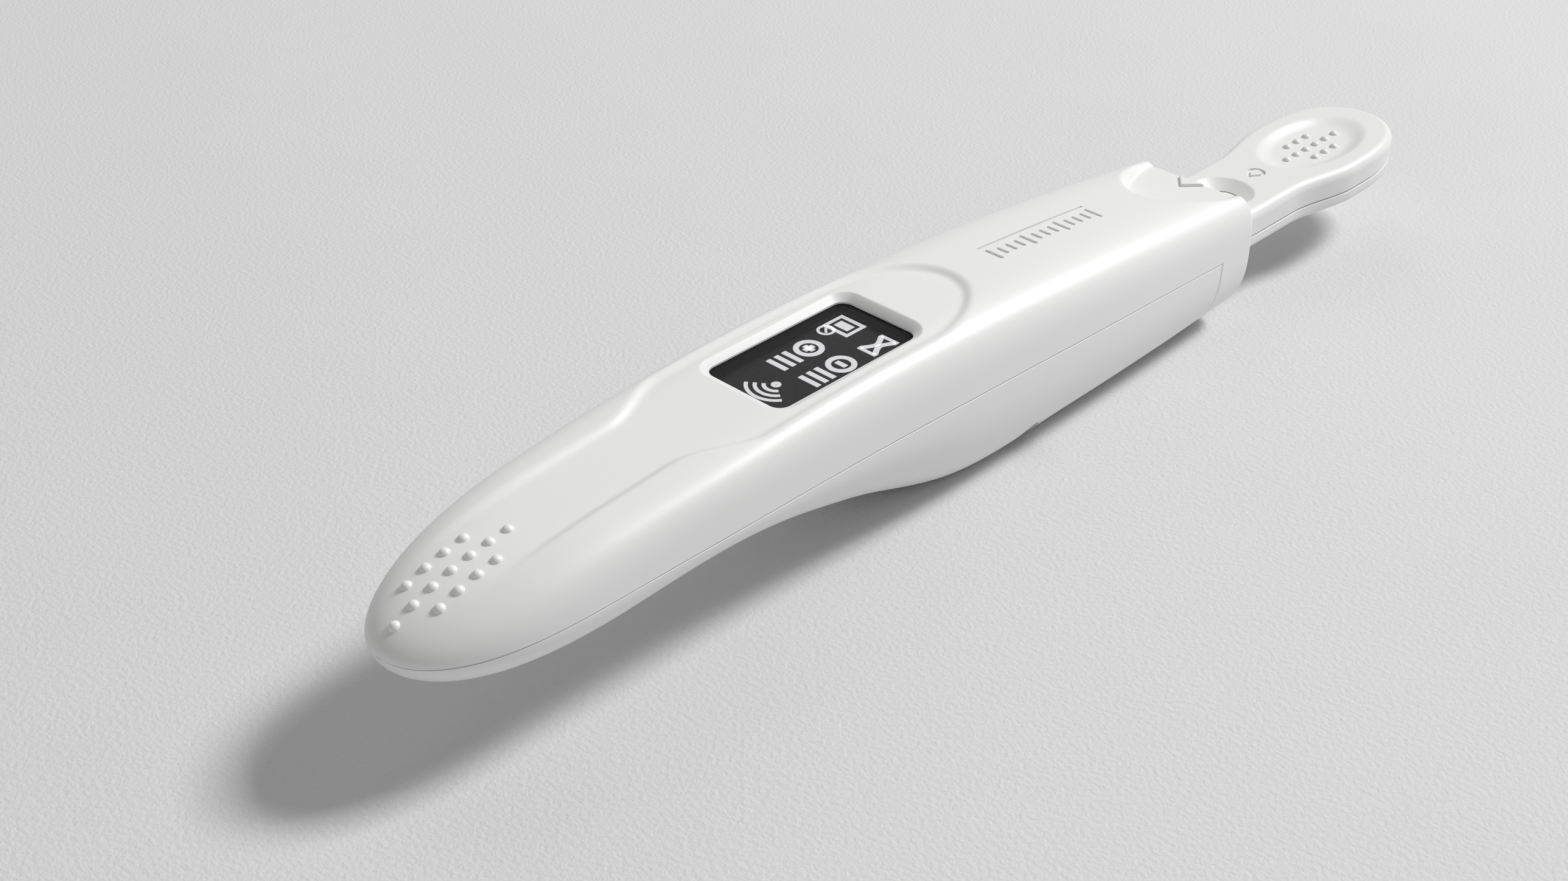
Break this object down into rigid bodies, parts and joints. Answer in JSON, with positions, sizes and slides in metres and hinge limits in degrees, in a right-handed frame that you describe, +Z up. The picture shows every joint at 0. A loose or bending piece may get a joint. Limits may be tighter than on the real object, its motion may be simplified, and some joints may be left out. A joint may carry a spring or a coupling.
{
  "type": "digital test stick reader",
  "caption": "Slim hand-held reader with a sunken display panel, a deep belly and a plug-in test stick at its rear end.",
  "frame": {"origin": "under the middle of the whole length, on the surface that the belly rests on", "axes": "+X from the reader's nose towards the test stick's head, +Z up, Y across"},
  "size_m": [0.1808, 0.023, 0.0247],
  "materials": {
    "white_housing": "satin white injection-moulded housing",
    "white_stick": "satin white moulded test stick",
    "display_glass": "smoked gloss window",
    "display_panel": "black display panel with pale symbols",
    "black_plastic": "black moulded plastic",
    "flex_film": "amber film with copper tracks",
    "circuit_board": "green solder mask",
    "chip_black": "moulded chip package",
    "shield_metal": "stamped shield can",
    "ceramic_parts": "ceramic chip parts",
    "led_resin": "clear-yellow resin",
    "spring_steel": "bright spring strip",
    "plunger_plastic": "natural plastic",
    "cell_steel": "plated steel can",
    "contact_brass": "plated contact strip",
    "screw_steel": "plated screws",
    "card": "white backing card",
    "fibre_pad": "fibre pad",
    "conjugate_fibre": "pink-tinged fibre pad",
    "membrane_film": "white membrane"
  },
  "bodies": {
    "reader": {"upper_shell": "white_housing", "lower_shell": "white_housing", "display_window": "display_glass", "display_bezel": "black_plastic", "oled_display": "display_panel", "display_holder": "black_plastic", "display_flex": "flex_film", "main_board": "circuit_board", "processor_chip": "chip_black", "radio_module": "shield_metal", "board_components": "ceramic_parts", "buzzer": "black_plastic", "optics_block": "black_plastic", "emitter_leds": "led_resin", "light_sensor": "chip_black", "stick_guide": "black_plastic", "retaining_spring": "spring_steel", "detect_switch": "black_plastic", "battery_tray": "black_plastic", "coin_cells": "cell_steel", "battery_contacts": "contact_brass", "case_screws": "screw_steel", "board_screws": "screw_steel"},
    "test_stick": {"stick_upper_shell": "white_stick", "stick_lower_shell": "white_stick", "backing_card": "card", "sample_pad": "fibre_pad", "conjugate_pad": "conjugate_fibre", "membrane": "membrane_film", "absorbent_pad": "fibre_pad"},
    "battery_cover": {"battery_door": "white_housing"},
    "detect_plunger": {"switch_plunger": "plunger_plastic"}
  },
  "joints": [
    {"name": "stick_slide", "type": "slide", "parent": "reader", "child": "test_stick", "axis": [1, 0, 0], "range_m": [0, 0.04]},
    {"name": "battery_door_slide", "type": "slide", "parent": "reader", "child": "battery_cover", "axis": [0, 0, -1], "range_m": [0, 0.006]},
    {"name": "switch_press", "type": "slide", "parent": "reader", "child": "detect_plunger", "axis": [-1, 0, 0], "range_m": [0, 0.0006], "stiffness_N_per_m": 300}
  ]
}
